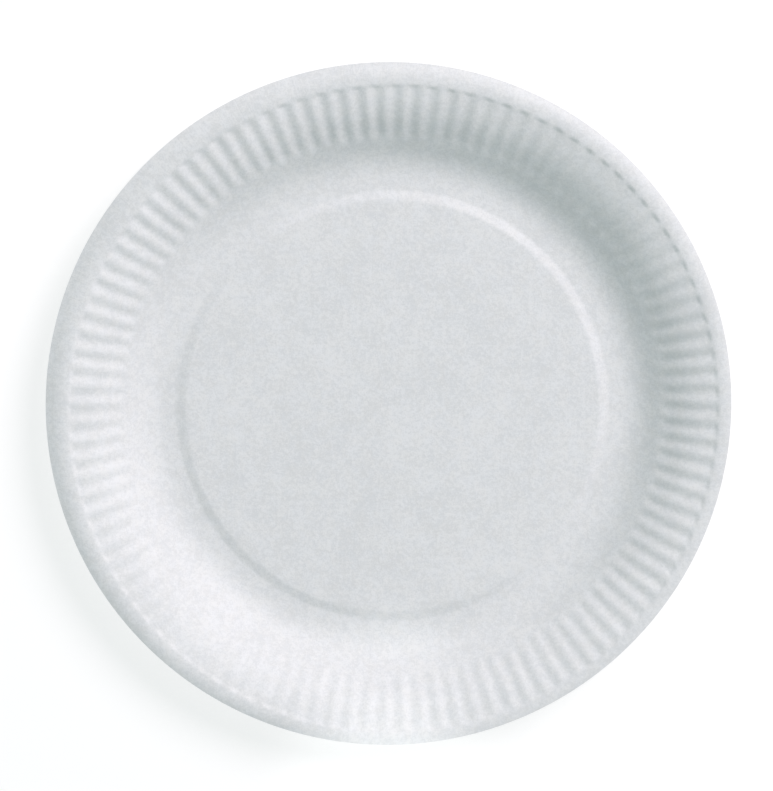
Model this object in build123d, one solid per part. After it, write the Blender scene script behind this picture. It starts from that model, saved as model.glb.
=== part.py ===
from build123d import *
import os
from math import cos, hypot, pi, radians, sin, tan

# A round paper plate: one sheet of white paperboard pressed to shape, then cut out round.
#
# The sheet is one section turned about the axis of the pressed form. From the axis outwards it
# has a raised centre disc, a rounded step down to the foot ring, a cove, a straight wall, a
# shoulder, a sloping flange and a rolled crest, whose lip turns down to the cut edge. Fine radial
# grooves are pressed into it from the foot of the wall to the crest, and show on both faces of
# the board. The plate was cut out slightly off the centre of the form, so its smooth outer band
# is wider on one side.
#
# Millimetres, +Z up. The origin is the centre of the cut outline, at the height of the foot.

# Overall sizes, and the thickness of the board
OUTLINE_RADIUS = 115.0
HEIGHT = 17.3
BOARD = 0.4

# Centre of the pressed form, seen from the centre of the cut outline
FORM_X = 1.65
FORM_Y = -1.65

# The floor, inside the cove; the step down from the centre disc is two arcs and a ramp
STEP_RISE = 0.95
STEP_ANGLE = 16.5
STEP_RADIUS = 4.5
FOOT_WIDTH = 2.8

# The side and the rim; radii are those of the upper face, angles are from the level
COVE_RADIUS = 17.0
WALL_ANGLE = 40.0
SHOULDER_RADIUS = 29.0
FLANGE_ANGLE = 16.5
FLANGE_LENGTH = 3.0
CREST_RADIUS = 9.5
LIP_ANGLE = 20.0

# Mean width of the crest and lip, from the edge of the flange to the cut edge
BAND_WIDTH = 6.4

# The flutes; they start the lead past the foot of the wall and end the tail past the flange, and
# the fades too are distances along the radius
FLUTE_COUNT = 108
FLUTE_DEPTH = 0.55
FLUTE_LEAD = 1.6
FLUTE_TAIL = 1.2
FLUTE_FADE_IN = 4.5
FLUTE_FADE_OUT = 2.0

# How closely the flutes are drawn: spans across each, rows along each part of it, the step
# over which a slope is measured, how often the place opposite a point of the lower face is
# found again, and how nearly the flutes meet the smooth board
FLUTE_SPANS = 8
FADE_ROWS = 5
BODY_ROWS = 5
PROBE = 0.01
SETTLE = 6
SEAM = 1e-5

# Sizes that follow: the height is made up by the wall, the outline by the centre disc
pitch = 2 * pi / FLUTE_COUNT
off_centre = hypot(FORM_X, FORM_Y)
ramp_rise = STEP_RISE - 2 * STEP_RADIUS * (1 - cos(radians(STEP_ANGLE)))
ramp_length = ramp_rise / sin(radians(STEP_ANGLE))
wall_cos, flange_cos = cos(radians(WALL_ANGLE)), cos(radians(FLANGE_ANGLE))
curved_rise = COVE_RADIUS * (1 - wall_cos) + SHOULDER_RADIUS * (flange_cos - wall_cos)
rim_rise = FLANGE_LENGTH * sin(radians(FLANGE_ANGLE)) + CREST_RADIUS * (1 - flange_cos)
wall_length = (HEIGHT - BOARD - curved_rise - rim_rise) / sin(radians(WALL_ANGLE))

# The upper face from the edge of the centre disc outwards, as tangent arcs and lines in the
# XY plane. The lip is drawn past the cut.
step_top = JernArc((0, BOARD + STEP_RISE), (1, 0), STEP_RADIUS, -STEP_ANGLE)
ramp = PolarLine(step_top @ 1, ramp_length, -STEP_ANGLE)
step_foot = JernArc(ramp @ 1, ramp % 1, STEP_RADIUS, STEP_ANGLE)
foot = PolarLine(step_foot @ 1, FOOT_WIDTH, 0)
cove = JernArc(foot @ 1, foot % 1, COVE_RADIUS, WALL_ANGLE)
wall = PolarLine(cove @ 1, wall_length, WALL_ANGLE)
shoulder = JernArc(wall @ 1, wall % 1, SHOULDER_RADIUS, FLANGE_ANGLE - WALL_ANGLE)
flange = PolarLine(shoulder @ 1, FLANGE_LENGTH, FLANGE_ANGLE)
crest = JernArc(flange @ 1, flange % 1, CREST_RADIUS, -FLANGE_ANGLE - LIP_ANGLE)
lip = PolarLine(crest @ 1, BAND_WIDTH + off_centre, -LIP_ANGLE)
side = [step_top, ramp, step_foot, foot, cove, wall, shoulder, flange, crest, lip]

disc_radius = OUTLINE_RADIUS - BAND_WIDTH - (flange @ 1).X
flute_start = disc_radius + (wall @ 0).X + FLUTE_LEAD
flute_end = disc_radius + (flange @ 1).X + FLUTE_TAIL


def form_height(radius):
    """Height of the smooth upper face where the flutes lie, from the wall to the crest."""
    out = radius - disc_radius
    if out < (wall @ 1).X:
        return (wall @ 0).Y + (out - (wall @ 0).X) * tan(radians(WALL_ANGLE))
    if (flange @ 0).X < out < (flange @ 1).X:
        return (flange @ 0).Y + (out - (flange @ 0).X) * tan(radians(FLANGE_ANGLE))
    arc = shoulder if out < (flange @ 1).X else crest
    return arc.arc_center.Y + (arc.radius**2 - (out - arc.arc_center.X) ** 2) ** 0.5


def form_climb(radius):
    """How steeply the smooth upper face climbs outwards."""
    return (form_height(radius + PROBE) - form_height(radius - PROBE)) / (2 * PROBE)


def form_underside(radius):
    """Height of the smooth lower face, the board's thickness from the upper, square to it."""
    opposite = radius
    for _ in range(SETTLE):
        climb = form_climb(opposite)
        opposite = radius - BOARD * climb / hypot(1, climb)
    return form_height(opposite) - BOARD / hypot(1, climb)


def ease(share):
    """A smooth rise from 0 to 1."""
    share = min(max(share, 0), 1)
    return share**3 * (10 - 15 * share + 6 * share**2)


def flute_height(radius, angle):
    """Height of the fluted upper face; the angle is from the middle of a groove."""
    depth = FLUTE_DEPTH * ease((radius - flute_start) / FLUTE_FADE_IN)
    depth *= ease((flute_end - radius) / FLUTE_FADE_OUT)
    return form_height(radius) - depth * (1 + cos(2 * pi * angle / pitch)) / 2


def flute_underside(radius, angle):
    """Height of the fluted lower face, lower on the flanks so the board stays as thick."""
    climb = flute_height(radius + PROBE, angle) - flute_height(radius - PROBE, angle)
    turn = PROBE / radius
    roll = flute_height(radius, angle + turn) - flute_height(radius, angle - turn)
    steepness = hypot(1, climb / (2 * PROBE), roll / (2 * PROBE))
    groove = form_height(radius) - flute_height(radius, angle)
    return form_underside(radius) - groove - BOARD * (steepness - hypot(1, form_climb(radius)))


def flute_rows():
    """The radii at which the flutes are drawn, closer together where they fade."""
    body_start = flute_start + FLUTE_FADE_IN
    body_end = flute_end - FLUTE_FADE_OUT
    body_step = (body_end - body_start) / BODY_ROWS
    fade_in = [flute_start + FLUTE_FADE_IN * i / FADE_ROWS for i in range(FADE_ROWS)]
    body = [body_start + body_step * i for i in range(BODY_ROWS)]
    fade_out = [body_end + FLUTE_FADE_OUT * i / FADE_ROWS for i in range(FADE_ROWS + 1)]
    return fade_in + body + fade_out


def row_curve(radius, height):
    """One curve across a flute at this radius, from ridge to ridge."""
    shares = [i / FLUTE_SPANS for i in range(FLUTE_SPANS + 1)]
    angles = [(share - 0.5) * pitch for share in shares]
    points = [Vector(radius * cos(a), radius * sin(a), height(radius, a)) for a in angles]
    ends = [Vector(-sin(a), cos(a)) for a in (angles[0], angles[-1])]
    return Edge.make_spline(points, tangents=ends, parameters=shares)


def around(face):
    """The same face repeated for every flute."""
    return [face.rotate(Axis.Z, 360 * i / FLUTE_COUNT) for i in range(FLUTE_COUNT)]


def fluted_ring():
    """The fluted part of the board, closed at both ends by narrow upright faces."""
    upper = [row_curve(radius, flute_height) for radius in flute_rows()]
    lower = [row_curve(radius, flute_underside) for radius in flute_rows()]
    faces = []
    for rows in (upper, lower):
        faces += around(Shell.make_loft([Wire(row) for row in rows]).face())
    for end in (0, -1):
        faces += around(Face.make_surface_from_curves(upper[end], lower[end]))
    return Solid(Shell(faces))


def smooth_board():
    """The section turned about the axis without the fluted part, and cut out off centre."""
    disc = Line((-disc_radius, BOARD + STEP_RISE), step_top @ 0)
    section = make_face(offset(Curve() + [disc] + side, BOARD, side=Side.RIGHT))
    fluted = Pos((flute_start + flute_end) / 2, 0) * Rectangle(flute_end - flute_start, 4 * HEIGHT)
    turned = revolve(Plane.XZ * (Pos(disc_radius, 0) * section - fluted), Axis.Z)
    return turned & Pos(-FORM_X, -FORM_Y) * Cylinder(OUTLINE_RADIUS, 4 * HEIGHT)


def plate():
    """The whole plate as one sheet, set over the centre of its cut outline."""
    dish, rim = smooth_board().solids()
    return Pos(FORM_X, FORM_Y) * dish.fuse(fluted_ring(), rim, tol=SEAM)


os.makedirs("parts", exist_ok=True)
export_step(plate(), "parts/plate.step")
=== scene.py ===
from math import cos, pi, radians, sin

import bpy
import numpy as np
from mathutils import Matrix, Vector


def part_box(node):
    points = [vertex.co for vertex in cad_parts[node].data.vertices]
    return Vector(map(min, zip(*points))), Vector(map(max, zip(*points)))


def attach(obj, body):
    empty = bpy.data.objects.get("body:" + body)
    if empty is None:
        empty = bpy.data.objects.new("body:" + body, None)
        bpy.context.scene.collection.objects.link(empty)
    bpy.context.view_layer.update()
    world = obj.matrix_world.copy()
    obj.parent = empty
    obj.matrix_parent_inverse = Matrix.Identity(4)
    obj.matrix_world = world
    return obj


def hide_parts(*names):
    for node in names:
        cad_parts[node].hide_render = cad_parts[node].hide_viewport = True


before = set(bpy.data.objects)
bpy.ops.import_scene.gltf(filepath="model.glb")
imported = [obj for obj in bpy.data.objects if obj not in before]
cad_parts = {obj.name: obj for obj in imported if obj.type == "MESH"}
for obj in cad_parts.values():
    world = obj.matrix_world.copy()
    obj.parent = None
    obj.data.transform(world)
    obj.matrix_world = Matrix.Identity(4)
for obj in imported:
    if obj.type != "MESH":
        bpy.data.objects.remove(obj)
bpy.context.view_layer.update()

# ---------------------------------------------------------------------------------------------
# The plate. One disc of white coated paperboard, struck in a heated die that raises the centre,
# draws up the side and gathers the spare board of the rim into fine radial flutes. The rim is
# then cut out round in the same stroke, a little off the centre of the die.
# ---------------------------------------------------------------------------------------------

MM = 0.001

plate_low, plate_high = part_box("plate")
outline_radius = (plate_high.x - plate_low.x) / 2
plate_height = plate_high.z - plate_low.z
BOARD = 0.4 * MM
DIE_X, DIE_Y = 1.65 * MM, -1.65 * MM

# The section, from the step round the centre disc to the cut edge
STEP_RISE, STEP_ANGLE, STEP_RADIUS = 0.95 * MM, radians(16.5), 4.5 * MM
FOOT_WIDTH = 2.8 * MM
COVE_RADIUS = 17.0 * MM
WALL_ANGLE = radians(40.0)
SHOULDER_RADIUS = 29.0 * MM
FLANGE_ANGLE, FLANGE_LENGTH = radians(16.5), 3.0 * MM
CREST_RADIUS = 9.5 * MM
LIP_ANGLE = radians(20.0)
BAND_WIDTH = 6.4 * MM
PROFILE_STEP, FEWEST_STEPS = 0.05 * MM, 8

# The flutes run from just past the cove to just past the flange, and are softer to the front
FLUTES, POINTS_PER_FLUTE = 108, 12
FLUTE_DEPTH = 0.55 * MM
FLUTE_LEAD, FLUTE_TAIL = 1.6 * MM, 1.2 * MM
FLUTE_FADE_IN, FLUTE_FADE_OUT = 4.5 * MM, 2.0 * MM
SHALLOW_BEARING, SHALLOWER = radians(252), 0.42

# How unevenly the board comes out: the size of a patch, then how far the patches differ. The
# sway sets in a little before the flutes
WANDER_PATCH, WANDER = 9 * MM, 0.35
DEPTH_PATCH, DEPTH_CHANGE = 14 * MM, 0.25
SWAY_PATCH, SWAY, SWAY_LEAD = 70 * MM, 0.3 * MM, 12 * MM
UNEVENNESS, SEED = 1.0, 7.0

# The mesh: the share of the disc's radius with wide rows, the rows across the smooth band, the
# gap that is welded shut, and the fold past which a corner shows sharp
FLAT_SHARE, BAND_ROWS = 0.9, 9
WELD_GAP, SHARP_FOLD = 0.001 * MM, radians(50)


def die_profile():
    """Radius and height of the die's face in close steps, from the edge of the centre disc."""
    ramp_length = (STEP_RISE - 2 * STEP_RADIUS * (1 - cos(STEP_ANGLE))) / sin(STEP_ANGLE)
    curved_rise = COVE_RADIUS * (1 - cos(WALL_ANGLE))
    curved_rise += SHOULDER_RADIUS * (cos(FLANGE_ANGLE) - cos(WALL_ANGLE))
    rim_rise = FLANGE_LENGTH * sin(FLANGE_ANGLE) + CREST_RADIUS * (1 - cos(FLANGE_ANGLE))
    wall_length = (plate_height - BOARD - curved_rise - rim_rise) / sin(WALL_ANGLE)
    legs = {
        "step top": (STEP_RADIUS * STEP_ANGLE, -STEP_ANGLE),
        "ramp": (ramp_length, 0),
        "step foot": (STEP_RADIUS * STEP_ANGLE, STEP_ANGLE),
        "foot": (FOOT_WIDTH, 0),
        "cove": (COVE_RADIUS * WALL_ANGLE, WALL_ANGLE),
        "wall": (wall_length, 0),
        "shoulder": (SHOULDER_RADIUS * (WALL_ANGLE - FLANGE_ANGLE), FLANGE_ANGLE - WALL_ANGLE),
        "flange": (FLANGE_LENGTH, 0),
    }
    out, up, ends, heading = [0.0], [BOARD + STEP_RISE], {}, 0.0
    for leg, (length, turn) in legs.items():
        steps = max(FEWEST_STEPS, round(length / PROFILE_STEP))
        for step in range(steps):
            slope = heading + turn * (step + 0.5) / steps
            out.append(out[-1] + length / steps * cos(slope))
            up.append(up[-1] + length / steps * sin(slope))
        heading += turn
        ends[leg] = out[-1]
    return np.array(out), np.array(up), ends


profile_out, profile_up, leg_ends = die_profile()
disc_radius = outline_radius - BAND_WIDTH - profile_out[-1]
step_end = disc_radius + leg_ends["step foot"]
cove_start, cove_end = disc_radius + leg_ends["foot"], disc_radius + leg_ends["cove"]
flute_start = cove_end + FLUTE_LEAD
flange_end = disc_radius + leg_ends["flange"]
flute_end = flange_end + FLUTE_TAIL


def section_rows():
    """Radii of the rows of the mesh, how many points go round each, and its share of the band."""
    disc_flat = disc_radius * FLAT_SHARE
    faded_in, fading_out = flute_start + FLUTE_FADE_IN, flute_end - FLUTE_FADE_OUT
    spans = [  # where a span starts and ends, its rows, and the points round it for each flute
        (0, disc_flat, 6, 1),
        (disc_flat, disc_radius, 3, 2),
        (disc_radius, step_end, 10, 3),
        (step_end, cove_start, 1, 3),
        (cove_start, cove_end, 6, 4),
        (cove_end, flute_start, 1, POINTS_PER_FLUTE),
        (flute_start, faded_in, 5, POINTS_PER_FLUTE),
        (faded_in, fading_out, 7, POINTS_PER_FLUTE),
        (fading_out, flute_end, 7, POINTS_PER_FLUTE),
    ]
    radii, around, band = [], [], []
    for start, end, rows, points in spans:
        radii += [start + (end - start) * row / rows for row in range(rows)]
        around += [FLUTES * points] * rows
        band += [0] * rows
    radii += [flute_end] * (BAND_ROWS + 1)
    around += [FLUTES * POINTS_PER_FLUTE] * (BAND_ROWS + 1)
    band += [row / BAND_ROWS for row in range(BAND_ROWS + 1)]
    return radii, around, band


def section_mesh():
    """The section of the upper face as a line of points, one for each row of the plate."""
    radii, around, band = section_rows()
    heights = np.interp(np.array(radii) - disc_radius, profile_out, profile_up)
    mesh = bpy.data.meshes.new("plate section")
    corners = [(radius, 0, height) for radius, height in zip(radii, heights)]
    mesh.from_pydata(corners, [(i, i + 1) for i in range(len(corners) - 1)], [])
    mesh.attributes.new("around", "FLOAT", "POINT").data.foreach_set("value", around)
    mesh.attributes.new("band", "FLOAT", "POINT").data.foreach_set("value", band)
    return mesh


class Gauge:
    """A value on a socket. Sums on it add Math nodes to the tree that the socket is in."""

    def __init__(self, socket):
        self.socket = socket

    @staticmethod
    def node(tree, kind, settings=None, sockets=None):
        """Adds any node: its settings first, then the values or links of its sockets."""
        made = tree.nodes.new(kind)
        for name, value in (settings or {}).items():
            setattr(made, name, value)
        for name, value in (sockets or {}).items():
            into = made.inputs[name]
            if isinstance(name, str):
                into = next(s for s in made.inputs if s.name == name and s.enabled)
            if isinstance(value, Gauge):
                tree.links.new(value.socket, into)
            else:
                into.default_value = value
        return Gauge(next(s for s in made.outputs if s.enabled)) if made.outputs else None

    @staticmethod
    def adder(tree):
        """A short call that adds nodes to one tree, with the sockets' names as its keywords."""

        def add(kind, settings=None, **sockets):
            named = {name.replace("_", " "): value for name, value in sockets.items()}
            return Gauge.node(tree, kind, settings, named)

        return add

    def also(self, name):
        """Another output of the same node."""
        outputs = self.socket.node.outputs
        return Gauge(next(s for s in outputs if s.name == name and s.enabled))

    def math(self, operation, *values):
        """A Math node on this value and others."""
        sockets = dict(enumerate((self,) + values))
        return Gauge.node(self.socket.id_data, "ShaderNodeMath", {"operation": operation}, sockets)

    def vector(self, operation):
        """A Vector Math node on this vector."""
        settings = {"operation": operation}
        return Gauge.node(self.socket.id_data, "ShaderNodeVectorMath", settings, {0: self})

    def split(self):
        """The three numbers of a vector."""
        parts = Gauge.node(self.socket.id_data, "ShaderNodeSeparateXYZ", None, {0: self})
        return parts, parts.also("Y"), parts.also("Z")

    def ease(self, start, end, low=0.0, high=1.0):
        """A smooth change from low to high as this value goes from start to end."""
        sockets = {"Value": self, "From Min": start, "From Max": end, "To Min": low, "To Max": high}
        settings = {"interpolation_type": "SMOOTHERSTEP"}
        return Gauge.node(self.socket.id_data, "ShaderNodeMapRange", settings, sockets)

    def __add__(self, other):
        return self.math("ADD", other)

    def __sub__(self, other):
        return self.math("SUBTRACT", other)

    def __mul__(self, other):
        return self.math("MULTIPLY", other)

    def __truediv__(self, other):
        return self.math("DIVIDE", other)

    def __rsub__(self, other):
        return (self * -1.0) + other

    def __rtruediv__(self, other):
        return self.math("POWER", -1.0) * other

    def __neg__(self):
        return self * -1.0

    __radd__ = __add__
    __rmul__ = __mul__


def plate_die():
    """The node tree that spins the section, strikes the flutes, cuts the rim and adds the board."""
    tree = bpy.data.node_groups.new("plate die", "GeometryNodeTree")
    wanted = {
        "Section": "Geometry",
        "Die X": "Float",
        "Die Y": "Float",
        "Outline Radius": "Float",
        "Flutes": "Int",
        "Points Per Flute": "Int",
        "Flute Start": "Float",
        "Flute End": "Float",
        "Flange End": "Float",
        "Fade In": "Float",
        "Fade Out": "Float",
        "Flute Depth": "Float",
        "Shallow Bearing": "Float",
        "Shallower": "Float",
        "Crest Radius": "Float",
        "Flange Angle": "Float",
        "Lip Angle": "Float",
        "Board": "Float",
        "Wander Patch": "Float",
        "Wander": "Float",
        "Depth Patch": "Float",
        "Depth Change": "Float",
        "Sway Patch": "Float",
        "Sway": "Float",
        "Sway Lead": "Float",
        "Unevenness": "Float",
        "Seed": "Float",
        "Weld Gap": "Float",
        "Sharp Fold": "Float",
        "Finish": "Material",
    }
    for name, kind in wanted.items():
        tree.interface.new_socket(name, in_out="INPUT", socket_type="NodeSocket" + kind)
    tree.interface.new_socket("Plate", in_out="OUTPUT", socket_type="NodeSocketGeometry")
    add = Gauge.adder(tree)
    given = add("NodeGroupInput")
    size = {name: given.also(name) for name in wanted}

    # A flat sheet of squares, one column for each point round and one row for each of the section
    rows = add("GeometryNodeAttributeDomainSize", {"component": "MESH"}, Geometry=size["Section"])
    columns = size["Flutes"] * size["Points Per Flute"]
    sheet = add(
        "GeometryNodeMeshGrid", Size_X=1.0, Size_Y=1.0, Vertices_X=columns + 1.0, Vertices_Y=rows
    )
    across, along, _ = add("GeometryNodeInputPosition").split()
    row = ((along + 0.5) * (rows - 1.0)).math("ROUND")

    def at_row(data_type, value):
        settings = {"data_type": data_type, "domain": "POINT"}
        return add(
            "GeometryNodeSampleIndex", settings, Geometry=size["Section"], Value=value, Index=row
        )

    def row_number(name):
        number = add("GeometryNodeInputNamedAttribute", {"data_type": "FLOAT"}, Name=name)
        return at_row("FLOAT", number)

    # Each point's place round the plate, snapped so that the inner rows have fewer points
    radius, _, height = at_row("FLOAT_VECTOR", add("GeometryNodeInputPosition")).split()
    around = row_number("around")
    angle = ((across + 0.5) * around).math("ROUND") / around * (2 * pi)
    out_x, out_y = angle.math("COSINE"), angle.math("SINE")

    # The rim is cut to the outline, which isn't centred on the die, then rolled over the crest
    toward = -(out_x * size["Die X"] + out_y * size["Die Y"])
    off_centre = size["Die X"] * size["Die X"] + size["Die Y"] * size["Die Y"]
    inside = size["Outline Radius"] * size["Outline Radius"] - off_centre + toward * toward
    cut = toward + inside.math("SQRT")
    reach = radius + row_number("band") * (cut - size["Flute End"])
    crest = size["Crest Radius"]
    crest_top = size["Flange End"] + crest * size["Flange Angle"].math("SINE")
    past_top = reach.math("MAXIMUM", size["Flange End"]) - crest_top
    roll_out = crest * size["Lip Angle"].math("SINE")
    roll = past_top.math("MINIMUM", roll_out)
    rolled = (crest * crest - roll * roll).math("SQRT")
    rolled = rolled - crest * size["Flange Angle"].math("COSINE")
    lip = (past_top - roll_out).math("MAXIMUM", 0.0) * size["Lip Angle"].math("TANGENT")

    # Pressed board never comes out quite even: the flutes wander and the rim stands a little high
    # or low, all the way round
    def uneven(patch, seed):
        ring = add("ShaderNodeCombineXYZ", X=out_x * reach, Y=out_y * reach, Z=size["Seed"] + seed)
        noise = add("ShaderNodeTexNoise", Vector=ring, Scale=1.0 / patch, Detail=1.0)
        return (noise - 0.5) * 2.0 * size["Unevenness"]

    wander = uneven(size["Wander Patch"], 1.0) * size["Wander"]
    groove = ((angle * size["Flutes"] + wander).math("COSINE") + 1.0) * 0.5
    shallow_side = ((angle - size["Shallow Bearing"]).math("COSINE") + 1.0) * 0.5
    depth = size["Flute Depth"] * (1.0 - size["Shallower"] * shallow_side * shallow_side)
    depth = depth * (1.0 + uneven(size["Depth Patch"], 2.0) * size["Depth Change"])
    depth = depth * reach.ease(size["Flute Start"], size["Flute Start"] + size["Fade In"])
    fade_out = size["Flute End"] - size["Fade Out"]
    depth = depth * reach.ease(fade_out, size["Flute End"], 1.0, 0.0)
    sway = uneven(size["Sway Patch"], 3.0) * size["Sway"]
    sway = sway * reach.ease(size["Flute Start"] - size["Sway Lead"], crest_top)
    place = add(
        "ShaderNodeCombineXYZ",
        X=size["Die X"] + reach * out_x,
        Y=size["Die Y"] + reach * out_y,
        Z=height + rolled - lip - depth * groove + sway,
    )
    struck = add("GeometryNodeSetPosition", Geometry=sheet, Position=place)
    face = add("GeometryNodeMergeByDistance", Geometry=struck, Distance=size["Weld Gap"])

    # The lower face is the same surface one thickness of board down, joined at the cut edge
    _, _, facing = add("GeometryNodeInputNormal").split()
    down = add("ShaderNodeCombineXYZ", Z=size["Board"] / facing)
    lower = add(
        "GeometryNodeExtrudeMesh", {"mode": "FACES"}, Mesh=face, Offset=down, Individual=False
    )
    lower_marked = add(
        "GeometryNodeStoreNamedAttribute",
        {"data_type": "FLOAT", "domain": "FACE"},
        Geometry=lower,
        Name="cut edge",
        Value=lower.also("Side"),
    )
    upper = add("GeometryNodeFlipFaces", Mesh=face)
    both = add("GeometryNodeJoinGeometry", Geometry=lower_marked)
    tree.links.new(upper.socket, both.socket.node.inputs[0])
    board = add("GeometryNodeMergeByDistance", Geometry=both, Distance=size["Weld Gap"])

    # The board reads smooth everywhere but at the sharp corners of its cut edge
    smooth = add("GeometryNodeSetShadeSmooth", {"domain": "FACE"}, Geometry=board)
    fold = add("GeometryNodeInputMeshEdgeAngle")
    creased = add(
        "GeometryNodeSetShadeSmooth",
        {"domain": "EDGE"},
        Geometry=smooth,
        Selection=fold.math("GREATER_THAN", size["Sharp Fold"]),
        Shade_Smooth=False,
    )
    real = add("GeometryNodeRealizeInstances", Geometry=creased)
    finished = add("GeometryNodeSetMaterial", Geometry=real, Material=size["Finish"])
    add("NodeGroupOutput", Plate=finished)
    return tree


# Sizes of the patches in the coat and in the fibre under it, and how much each adds to the tone
CLOUD_PATCH, CLOUD_TONE = 22 * MM, 0.2
FLOC_PATCH, FLOC_TONE = 4.5 * MM, 0.22
MOTTLE_PATCH, MOTTLE_TONE = 1.4 * MM, 0.4
FIBRE_PATCH, FIBRE_TONE = 0.5 * MM, 0.4
TINT_PATCH = 3.5 * MM
CREASE_TURN = 0.006  # radians round the rim from one crease to the next

TONE_LOW, TONE_HIGH = 0.46, 0.76
TINT_LOW, TINT_HIGH = 0.3, 0.7
PULP_LOW, PULP_HIGH = 0.35, 0.65
COOL_DULL, COOL_BRIGHT = (0.732, 0.739, 0.748, 1), (0.825, 0.828, 0.837, 1)
WARM_DULL, WARM_BRIGHT = (0.738, 0.739, 0.738, 1), (0.832, 0.828, 0.825, 1)
PULP_DULL, PULP_BRIGHT = (0.66, 0.64, 0.60, 1), (0.76, 0.74, 0.70, 1)

MOTTLE_RELIEF, FIBRE_RELIEF, CREASE_RELIEF = 0.070, 0.032, 0.05
RELIEF_HEIGHT = 1 * MM
CREASE_LEAD, CREASE_FULL = 1 * MM, 2 * MM
SATIN, MOTTLE_ROUGHER, PULP_ROUGHER = 0.50, 0.12, 0.25
COAT_IOR, COAT_SHINE = 1.46, 0.35


def coated_board():
    """White coated paperboard: a satin clay coat over pressed fibre, and raw pulp at the cut."""
    material = bpy.data.materials.new("coated board")
    material.use_nodes = True
    tree = material.node_tree
    shader = tree.nodes["Principled BSDF"]
    add = Gauge.adder(tree)

    def noise(patch, detail, place):
        return add("ShaderNodeTexNoise", Vector=place, Scale=1 / patch, Detail=detail)

    def blend(mask, low, high):
        return add("ShaderNodeMix", {"data_type": "RGBA"}, Factor=mask, A=low, B=high)

    place = add("ShaderNodeTexCoord").also("Object")
    x, y, z = place.split()
    from_die = add("ShaderNodeCombineXYZ", X=x - DIE_X, Y=y - DIE_Y)
    reach = from_die.vector("LENGTH").also("Value")
    outwards = from_die.vector("NORMALIZE")

    # Cloudy patches, flocs, mottle and fibre set the tone, which drifts from cool to warm white
    mottle = noise(MOTTLE_PATCH, 3.0, place)
    fibre = noise(FIBRE_PATCH, 3.0, place)
    tone = noise(CLOUD_PATCH, 2.0, place) * CLOUD_TONE + noise(FLOC_PATCH, 2.0, place) * FLOC_TONE
    tone = (tone + mottle * MOTTLE_TONE + fibre * FIBRE_TONE).ease(TONE_LOW, TONE_HIGH)
    tint = noise(TINT_PATCH, 3.0, add("ShaderNodeCombineXYZ", X=y, Y=z, Z=x))
    cool, warm = blend(tone, COOL_DULL, COOL_BRIGHT), blend(tone, WARM_DULL, WARM_BRIGHT)
    white = blend(tint.ease(TINT_LOW, TINT_HIGH), cool, warm)
    pulp = blend(fibre.ease(PULP_LOW, PULP_HIGH), PULP_DULL, PULP_BRIGHT)
    cut_edge = add("ShaderNodeAttribute", {"attribute_name": "cut edge"}).also("Fac")
    colour = blend(cut_edge, white, pulp)
    tree.links.new(colour.socket, shader.inputs["Base Color"])

    # Fine creases run out across the smooth band, where spare board is gathered but not fluted
    creases = noise(CREASE_TURN, 3.0, outwards) - 0.5
    on_band = reach.ease(flute_end - CREASE_LEAD, flute_end + CREASE_FULL)
    relief = mottle * MOTTLE_RELIEF + fibre * FIBRE_RELIEF + creases * on_band * CREASE_RELIEF
    bump = add("ShaderNodeBump", Strength=1.0, Distance=RELIEF_HEIGHT, Height=relief)
    tree.links.new(bump.socket, shader.inputs["Normal"])
    rough = SATIN + mottle * MOTTLE_ROUGHER + cut_edge * PULP_ROUGHER
    tree.links.new(rough.socket, shader.inputs["Roughness"])
    shader.inputs["IOR"].default_value = COAT_IOR
    shader.inputs["Specular IOR Level"].default_value = COAT_SHINE
    return material


def strike_plate():
    """Runs the section through the die and keeps the result as a plain mesh."""
    blank = bpy.data.objects.new("plate blank", section_mesh())
    bpy.context.scene.collection.objects.link(blank)
    press = blank.modifiers.new("die", "NODES")
    press.node_group = plate_die()
    values = {
        "Die X": DIE_X,
        "Die Y": DIE_Y,
        "Outline Radius": outline_radius,
        "Flutes": FLUTES,
        "Points Per Flute": POINTS_PER_FLUTE,
        "Flute Start": flute_start,
        "Flute End": flute_end,
        "Flange End": flange_end,
        "Fade In": FLUTE_FADE_IN,
        "Fade Out": FLUTE_FADE_OUT,
        "Flute Depth": FLUTE_DEPTH,
        "Shallow Bearing": SHALLOW_BEARING,
        "Shallower": SHALLOWER,
        "Crest Radius": CREST_RADIUS,
        "Flange Angle": FLANGE_ANGLE,
        "Lip Angle": LIP_ANGLE,
        "Board": BOARD,
        "Wander Patch": WANDER_PATCH,
        "Wander": WANDER,
        "Depth Patch": DEPTH_PATCH,
        "Depth Change": DEPTH_CHANGE,
        "Sway Patch": SWAY_PATCH,
        "Sway": SWAY,
        "Sway Lead": SWAY_LEAD,
        "Unevenness": UNEVENNESS,
        "Seed": SEED,
        "Weld Gap": WELD_GAP,
        "Sharp Fold": SHARP_FOLD,
        "Finish": coated_board(),
    }
    for item in press.node_group.interface.items_tree:
        if item.name in values:
            press[item.identifier] = values[item.name]
    struck = blank.evaluated_get(bpy.context.evaluated_depsgraph_get())
    mesh = bpy.data.meshes.new_from_object(struck)
    blank.modifiers.remove(press)
    bpy.data.objects.remove(blank)
    mesh.name = "pressed plate"
    plate = bpy.data.objects.new("pressed_plate", mesh)
    bpy.context.scene.collection.objects.link(plate)
    return plate


pressed_plate = strike_plate()
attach(pressed_plate, "root")
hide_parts("plate")

# ---------------------------------------------------------------------------------------------
# The table. A plain, matt white sweep that the plate stands on. It is flat for some metres and
# curves up all round at its far edge, so no edge of it is in view from any side.
# ---------------------------------------------------------------------------------------------

FLOOR_RADIUS, SWEEP_RADIUS, SWEEP_ANGLE = 7.0, 7.0, radians(40)
SWEEP_SIDES, SWEEP_ROWS = 96, 6
TABLE_WHITE, TABLE_ROUGHNESS = (0.35, 0.35, 0.35, 1), 0.9
TABLE_GLOW, TABLE_GLOW_STRENGTH = (1, 1, 1, 1), 0.69


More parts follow.
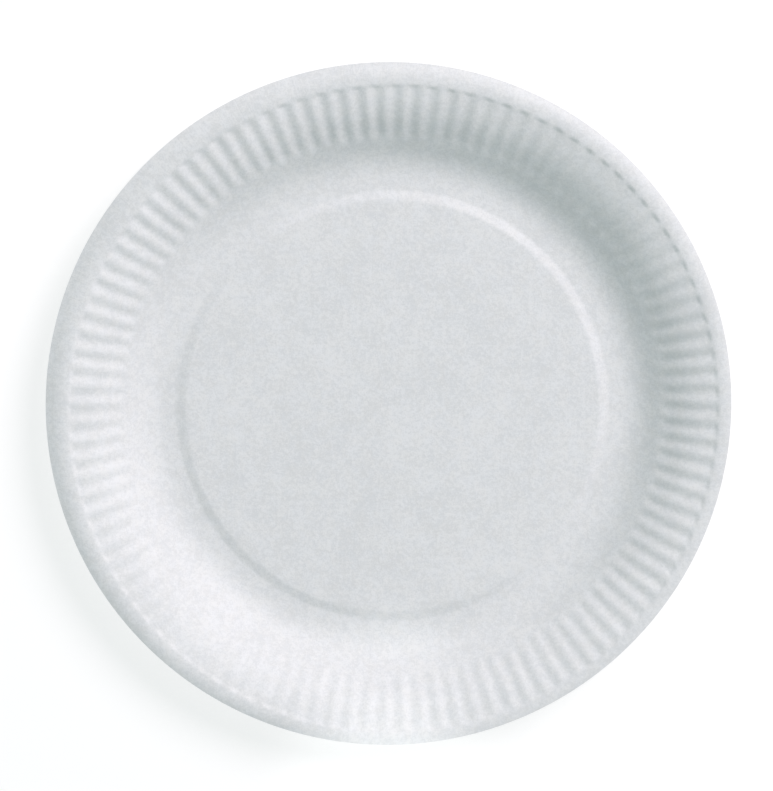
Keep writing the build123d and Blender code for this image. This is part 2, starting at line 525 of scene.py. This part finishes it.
def white_sweep():
    """Matt white that gives off a little light of its own, so that it stays white."""
    matt = bpy.data.materials.new("matt white sweep")
    matt.use_nodes = True
    shader = matt.node_tree.nodes["Principled BSDF"]
    shader.inputs["Base Color"].default_value = TABLE_WHITE
    shader.inputs["Roughness"].default_value = TABLE_ROUGHNESS
    shader.inputs["Emission Color"].default_value = TABLE_GLOW
    shader.inputs["Emission Strength"].default_value = TABLE_GLOW_STRENGTH
    return matt


def table_top():
    """A flat round floor, at the height of the plate's foot, with its edge curved up."""
    corners, faces = [], [list(range(SWEEP_SIDES))]
    for row in range(SWEEP_ROWS + 1):
        climb = SWEEP_ANGLE * row / SWEEP_ROWS
        reach = FLOOR_RADIUS + SWEEP_RADIUS * sin(climb)
        height = SWEEP_RADIUS * (1 - cos(climb))
        for side in range(SWEEP_SIDES):
            angle = 2 * pi * side / SWEEP_SIDES
            corners.append((reach * cos(angle), reach * sin(angle), height))
    for row in range(SWEEP_ROWS):
        for side in range(SWEEP_SIDES):
            here = row * SWEEP_SIDES + side
            beside = row * SWEEP_SIDES + (side + 1) % SWEEP_SIDES
            faces.append([here, here + SWEEP_SIDES, beside + SWEEP_SIDES, beside])
    mesh = bpy.data.meshes.new("table")
    mesh.from_pydata(corners, [], faces)
    mesh.materials.append(white_sweep())
    table = bpy.data.objects.new("table", mesh)
    bpy.context.scene.collection.objects.link(table)
    return table


table_top()

# ---------------------------------------------------------------------------------------------
# The light. A pale room lights everything evenly, one broad soft lamp stands high on the right
# behind the plate, and a small spot at the front lifts the near side of the rim.
# ---------------------------------------------------------------------------------------------

ROOM_COLOUR, ROOM_STRENGTH = (0.825, 0.998, 0.984, 1), 0.440
SOFT_BEARING, SOFT_HEIGHT_ANGLE, SOFT_DISTANCE = radians(47), radians(45), 3.0
SOFT_SIZE, SOFT_ENERGY, SOFT_COLOUR = 1.6, 68.2, (1.0, 0.898, 0.950)
FRONT_BEARING, FRONT_HEIGHT_ANGLE, FRONT_DISTANCE = radians(266), radians(45), 1.2
FRONT_SPREAD, FRONT_BLEND, FRONT_BULB, FRONT_ENERGY = radians(4.2), 1.0, 0.008, 30.0
FRONT_AIM_X, FRONT_AIM_OUT = -2 * MM, 34 * MM


def pale_room():
    """Even light from all round."""
    world = bpy.data.worlds.new("pale room")
    world.use_nodes = True
    background = world.node_tree.nodes["Background"]
    background.inputs["Color"].default_value = ROOM_COLOUR
    background.inputs["Strength"].default_value = ROOM_STRENGTH
    bpy.context.scene.world = world


def stand_lamp(lamp, aim, bearing, height_angle, distance):
    """Puts a lamp at a distance from what it lights, and turns it that way."""
    level = cos(height_angle)
    toward = Vector((level * cos(bearing), level * sin(bearing), sin(height_angle)))
    stand = bpy.data.objects.new(lamp.name, lamp)
    stand.location = aim + toward * distance
    stand.rotation_euler = toward.to_track_quat("Z", "Y").to_euler()
    bpy.context.scene.collection.objects.link(stand)


def soft_lamp():
    """A broad round lamp turned to the plate."""
    lamp = bpy.data.lights.new("soft lamp", "AREA")
    lamp.shape = "DISK"
    lamp.size = SOFT_SIZE
    lamp.energy = SOFT_ENERGY
    lamp.color = SOFT_COLOUR
    stand_lamp(lamp, Vector((0, 0, 0)), SOFT_BEARING, SOFT_HEIGHT_ANGLE, SOFT_DISTANCE)


def front_lamp():
    """A small spot turned to the table just in front of the rim, so only its edge is on the rim."""
    lamp = bpy.data.lights.new("front lamp", "SPOT")
    lamp.spot_size = FRONT_SPREAD
    lamp.spot_blend = FRONT_BLEND
    lamp.shadow_soft_size = FRONT_BULB
    lamp.energy = FRONT_ENERGY
    aim = Vector((FRONT_AIM_X, plate_low.y - FRONT_AIM_OUT, plate_high.z))
    stand_lamp(lamp, aim, FRONT_BEARING, FRONT_HEIGHT_ANGLE, FRONT_DISTANCE)


pale_room()
soft_lamp()
front_lamp()

# ---------------------------------------------------------------------------------------------
# The camera. It looks almost straight down from about a metre, leaning a little to the back
# left, with the plate filling most of the frame.
# ---------------------------------------------------------------------------------------------

CAMERA_DISTANCE = 1.0
CAMERA_LEAN, CAMERA_BEARING = radians(6.2), radians(111.5)
AIM_LEFT, AIM_UP = 1.17 * MM, 3.99 * MM
SHOWN_WIDTH, SENSOR_WIDTH = 0.2589, 36.0


def overhead_camera():
    """A camera turned so that +Y is straight up in its picture."""
    level = sin(CAMERA_LEAN)
    back = Vector((level * cos(CAMERA_BEARING), level * sin(CAMERA_BEARING), cos(CAMERA_LEAN)))
    up = (Vector((0, 1, 0)) - back * back.y).normalized()
    right = up.cross(back)
    aim = Vector((0, 0, plate_high.z)) - right * AIM_LEFT + up * AIM_UP
    camera = bpy.data.objects.new("camera", bpy.data.cameras.new("camera"))
    turn = Matrix((right, up, back)).transposed().to_4x4()
    camera.matrix_world = Matrix.Translation(aim + back * CAMERA_DISTANCE) @ turn
    camera.data.sensor_fit = "HORIZONTAL"
    camera.data.sensor_width = SENSOR_WIDTH
    camera.data.lens = SENSOR_WIDTH * CAMERA_DISTANCE / SHOWN_WIDTH
    bpy.context.scene.collection.objects.link(camera)
    bpy.context.scene.camera = camera


overhead_camera()
bpy.context.scene.view_settings.view_transform = "Standard"
